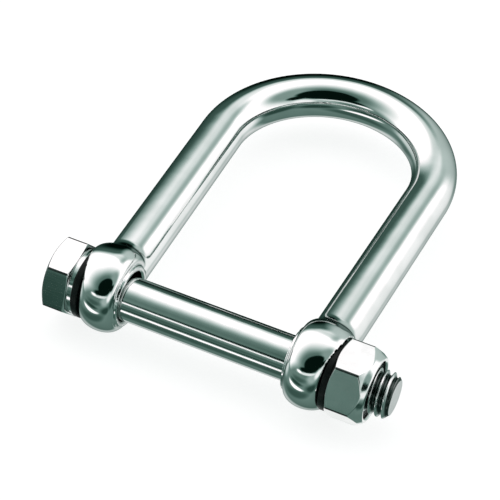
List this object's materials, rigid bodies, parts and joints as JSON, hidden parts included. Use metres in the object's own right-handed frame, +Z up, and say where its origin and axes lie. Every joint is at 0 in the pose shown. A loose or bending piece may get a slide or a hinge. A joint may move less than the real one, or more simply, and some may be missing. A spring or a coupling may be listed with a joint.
{
  "type": "dee shackle",
  "caption": "Wide dee shackle: round-bar bow with two eyes, closed by a hex-head bolt, two black washers and a self-locking nut.",
  "frame": {"origin": "under the middle of the shackle's plan, level with the underside of the two eyes it lies on", "axes": "+X along the bolt from its head to its nut, +Y from the bolt to the crown of the bow, +Z up, square to the plane of the bow"},
  "size_m": [0.079, 0.1002, 0.0195],
  "materials": {
    "polished_bow": "mirror-polished stainless steel with faint tumbling marks",
    "polished_bolt": "polished stainless steel, cut thread",
    "polished_nut": "bright-drawn stainless steel",
    "nylon_insert": "moulded nylon, satin",
    "black_washer": "black nylon, satin, with faint moulding marks"
  },
  "bodies": {
    "bow": {"bow": "polished_bow"},
    "bolt": {"bolt": "polished_bolt", "head_washer": "black_washer"},
    "nut_insert": {"nut_insert": "nylon_insert", "nut_washer": "black_washer"},
    "lock_nut": {"lock_nut": "polished_nut"}
  },
  "joints": [
    {"name": "bolt_withdraw", "type": "slide", "parent": "bow", "child": "bolt", "axis": [-1, 0, 0], "range_m": [0, 0.0625]},
    {"name": "nut_travel", "type": "slide", "parent": "bow", "child": "nut_insert", "axis": [1, 0, 0], "range_m": [0, 0.01201]},
    {"name": "nut_turn", "type": "hinge", "parent": "nut_insert", "child": "lock_nut", "pos_m": [0.0312, -0.04122, 0.00975], "axis": [1, 0, 0], "range_deg": [0, 2880]}
  ],
  "couplings": [
    {"joint": "nut_travel", "follows": "nut_turn", "m_per_rad": 0.00023873}
  ]
}
